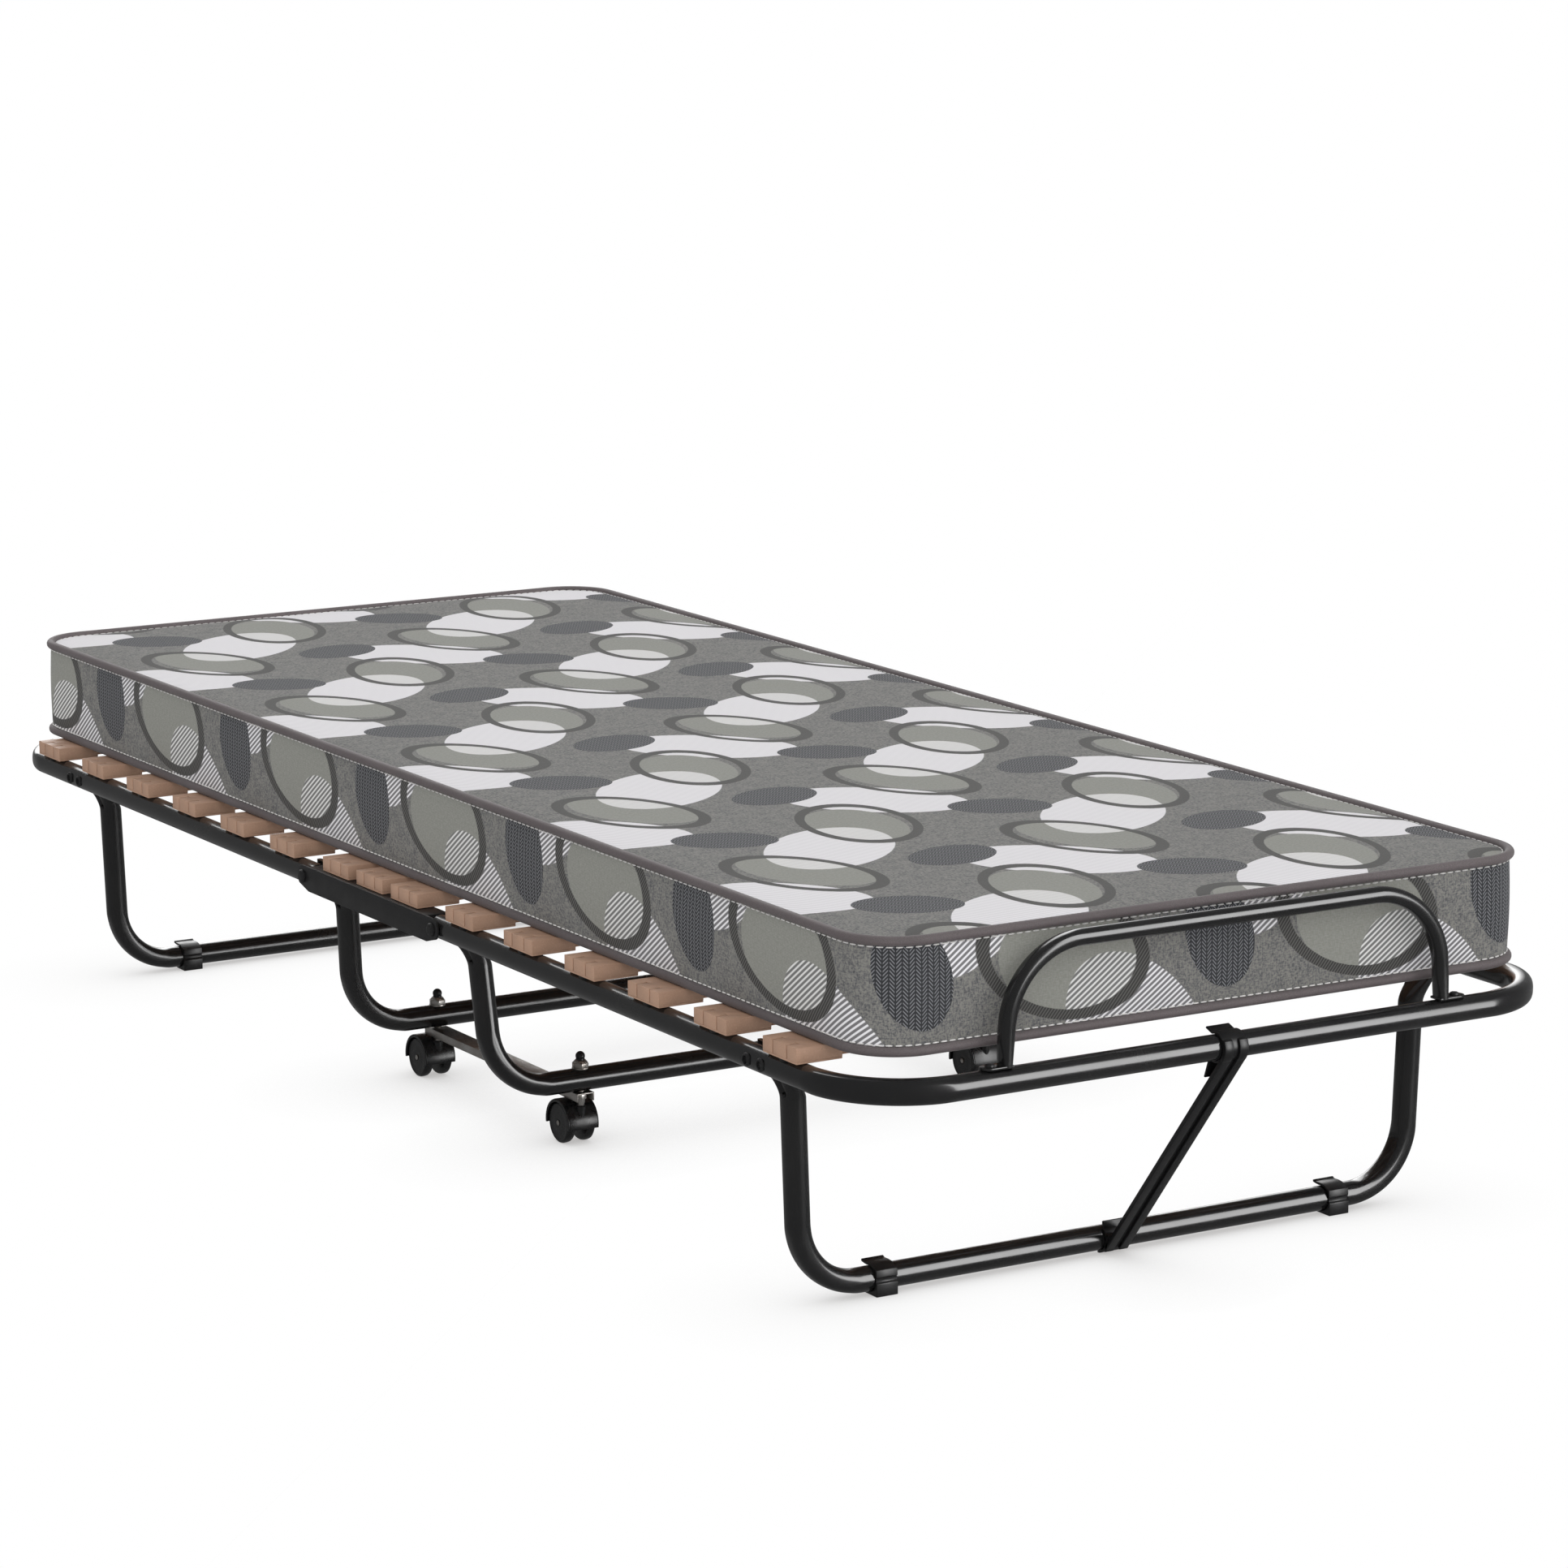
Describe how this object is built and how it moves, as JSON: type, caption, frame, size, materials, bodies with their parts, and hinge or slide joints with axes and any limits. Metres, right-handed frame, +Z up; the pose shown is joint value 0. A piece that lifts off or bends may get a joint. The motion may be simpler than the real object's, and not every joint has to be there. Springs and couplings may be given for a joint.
{
  "type": "rollaway bed",
  "caption": "Folding rollaway bed: slatted tubular half frames with swing-out legs hinge up from a caster base under a padded mattress.",
  "frame": {"origin": "on the floor, under the middle of the bed's frame in both directions", "axes": "+X across the bed's width, +Y along its length to the head end, away from the guard bar, +Z up"},
  "size_m": [0.813, 1.8944, 0.376],
  "materials": {
    "black_paint": "gloss black powder coat",
    "black_satin": "satin black coat",
    "zinc_steel": "zinc-plated steel",
    "black_plastic": "moulded black plastic, low sheen",
    "slat_board": "tan laminated slat with moulded end caps",
    "ticking": "printed woven ticking in greys"
  },
  "bodies": {
    "rolling_base": {"bracket_left": "black_satin", "bracket_right": "black_satin", "hinge_bolt_head_left": "black_satin", "hinge_bolt_head_right": "black_satin", "hinge_bolt_foot_left": "black_satin", "hinge_bolt_foot_right": "black_satin", "base_leg_head": "black_paint", "base_leg_foot": "black_paint", "link_bar_left": "zinc_steel", "link_bar_right": "zinc_steel", "base_slat_1": "slat_board", "base_slat_2": "slat_board", "base_slat_3": "slat_board", "caster_stem_head_left": "zinc_steel", "caster_stem_head_right": "zinc_steel", "caster_stem_foot_left": "zinc_steel", "caster_stem_foot_right": "zinc_steel", "cushion_middle": "ticking"},
    "head_section": {"head_rail": "black_paint", "head_slat_1": "slat_board", "head_slat_2": "slat_board", "head_slat_3": "slat_board", "head_slat_4": "slat_board", "head_slat_5": "slat_board", "head_slat_6": "slat_board", "leg_rivet_head_left": "black_satin", "leg_rivet_head_right": "black_satin", "cushion_head": "ticking"},
    "foot_section": {"foot_rail": "black_paint", "foot_slat_1": "slat_board", "foot_slat_2": "slat_board", "foot_slat_3": "slat_board", "foot_slat_4": "slat_board", "foot_slat_5": "slat_board", "foot_slat_6": "slat_board", "leg_rivet_foot_left": "black_satin", "leg_rivet_foot_right": "black_satin", "guard_bar": "black_paint", "guard_screw_left": "black_satin", "guard_screw_right": "black_satin", "cushion_foot": "ticking"},
    "head_leg": {"head_leg": "black_paint", "foot_clip_head_left": "black_plastic", "foot_clip_head_right": "black_plastic"},
    "foot_leg": {"foot_leg": "black_paint", "foot_clip_foot_left": "black_plastic", "foot_clip_foot_right": "black_plastic"},
    "strut": {"strut": "black_plastic"},
    "caster_head_left": {"caster_housing_head_left": "black_plastic"},
    "wheels_head_left": {"wheel_outer_head_left": "black_plastic", "wheel_inner_head_left": "black_plastic"},
    "caster_head_right": {"caster_housing_head_right": "black_plastic"},
    "wheels_head_right": {"wheel_outer_head_right": "black_plastic", "wheel_inner_head_right": "black_plastic"},
    "caster_foot_left": {"caster_housing_foot_left": "black_plastic"},
    "wheels_foot_left": {"wheel_outer_foot_left": "black_plastic", "wheel_inner_foot_left": "black_plastic"},
    "caster_foot_right": {"caster_housing_foot_right": "black_plastic"},
    "wheels_foot_right": {"wheel_outer_foot_right": "black_plastic", "wheel_inner_foot_right": "black_plastic"}
  },
  "joints": [
    {"name": "head_fold", "type": "hinge", "parent": "rolling_base", "child": "head_section", "pos_m": [0, 0.1454, 0.2395], "axis": [1, 0, 0], "range_deg": [0, 90], "deforming": ["cushion_middle"]},
    {"name": "foot_fold", "type": "hinge", "parent": "rolling_base", "child": "foot_section", "pos_m": [0, -0.1454, 0.2395], "axis": [-1, 0, 0], "range_deg": [0, 90]},
    {"name": "head_leg_fold", "type": "hinge", "parent": "head_section", "child": "head_leg", "pos_m": [0, 0.752, 0.2395], "axis": [-1, 0, 0], "range_deg": [0, 86]},
    {"name": "foot_leg_fold", "type": "hinge", "parent": "foot_section", "child": "foot_leg", "pos_m": [0, -0.752, 0.2395], "axis": [1, 0, 0], "range_deg": [0, 86]},
    {"name": "strut_swing", "type": "hinge", "parent": "foot_section", "child": "strut", "pos_m": [0, -0.934, 0.2395], "axis": [-1, 0, 0], "range_deg": [0, 90]},
    {"name": "swivel_head_left", "type": "hinge", "parent": "rolling_base", "child": "caster_head_left", "pos_m": [-0.245, 0.15, 0.04], "axis": [0, 0, 1], "continuous": true},
    {"name": "roll_head_left", "type": "hinge", "parent": "caster_head_left", "child": "wheels_head_left", "pos_m": [-0.245, 0.168, 0.021], "axis": [1, 0, 0], "continuous": true},
    {"name": "swivel_head_right", "type": "hinge", "parent": "rolling_base", "child": "caster_head_right", "pos_m": [0.245, 0.15, 0.04], "axis": [0, 0, 1], "continuous": true},
    {"name": "roll_head_right", "type": "hinge", "parent": "caster_head_right", "child": "wheels_head_right", "pos_m": [0.245, 0.168, 0.021], "axis": [1, 0, 0], "continuous": true},
    {"name": "swivel_foot_left", "type": "hinge", "parent": "rolling_base", "child": "caster_foot_left", "pos_m": [-0.245, -0.163, 0.04], "axis": [0, 0, 1], "continuous": true},
    {"name": "roll_foot_left", "type": "hinge", "parent": "caster_foot_left", "child": "wheels_foot_left", "pos_m": [-0.245, -0.145, 0.021], "axis": [1, 0, 0], "continuous": true},
    {"name": "swivel_foot_right", "type": "hinge", "parent": "rolling_base", "child": "caster_foot_right", "pos_m": [0.245, -0.163, 0.04], "axis": [0, 0, 1], "continuous": true},
    {"name": "roll_foot_right", "type": "hinge", "parent": "caster_foot_right", "child": "wheels_foot_right", "pos_m": [0.245, -0.145, 0.021], "axis": [1, 0, 0], "continuous": true}
  ]
}
